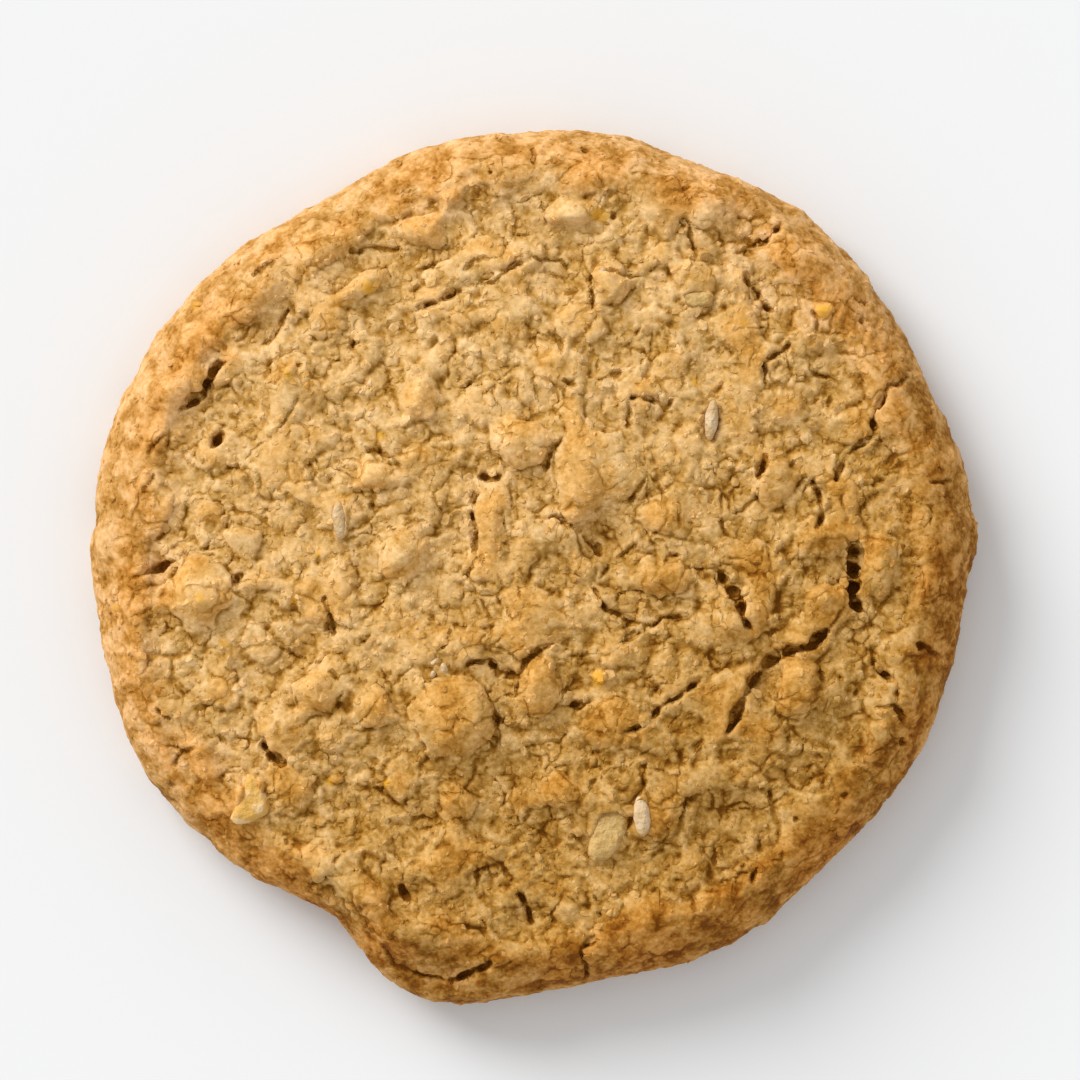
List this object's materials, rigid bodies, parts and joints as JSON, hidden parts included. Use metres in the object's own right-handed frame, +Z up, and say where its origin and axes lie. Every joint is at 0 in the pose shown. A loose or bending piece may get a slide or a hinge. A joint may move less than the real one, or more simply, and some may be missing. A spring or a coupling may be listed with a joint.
{
  "type": "pecan shortbread biscuit",
  "caption": "Round baked shortbread biscuit with a rough, cracked, nut-studded top, a smoother browned rim and a flat base.",
  "frame": {"origin": "centre of the flat base, in the middle of the biscuit's bounding box", "axes": "+Z up through the thickness; +X to the right and +Y away from the viewer as the biscuit lies seen from above"},
  "size_m": [0.0666, 0.0656, 0.0103],
  "materials": {
    "crumb": "dry baked shortbread crumb, rough and matt, golden brown at the rim"
  },
  "bodies": {
    "root": {"shortbread": "crumb"}
  },
  "joints": []
}
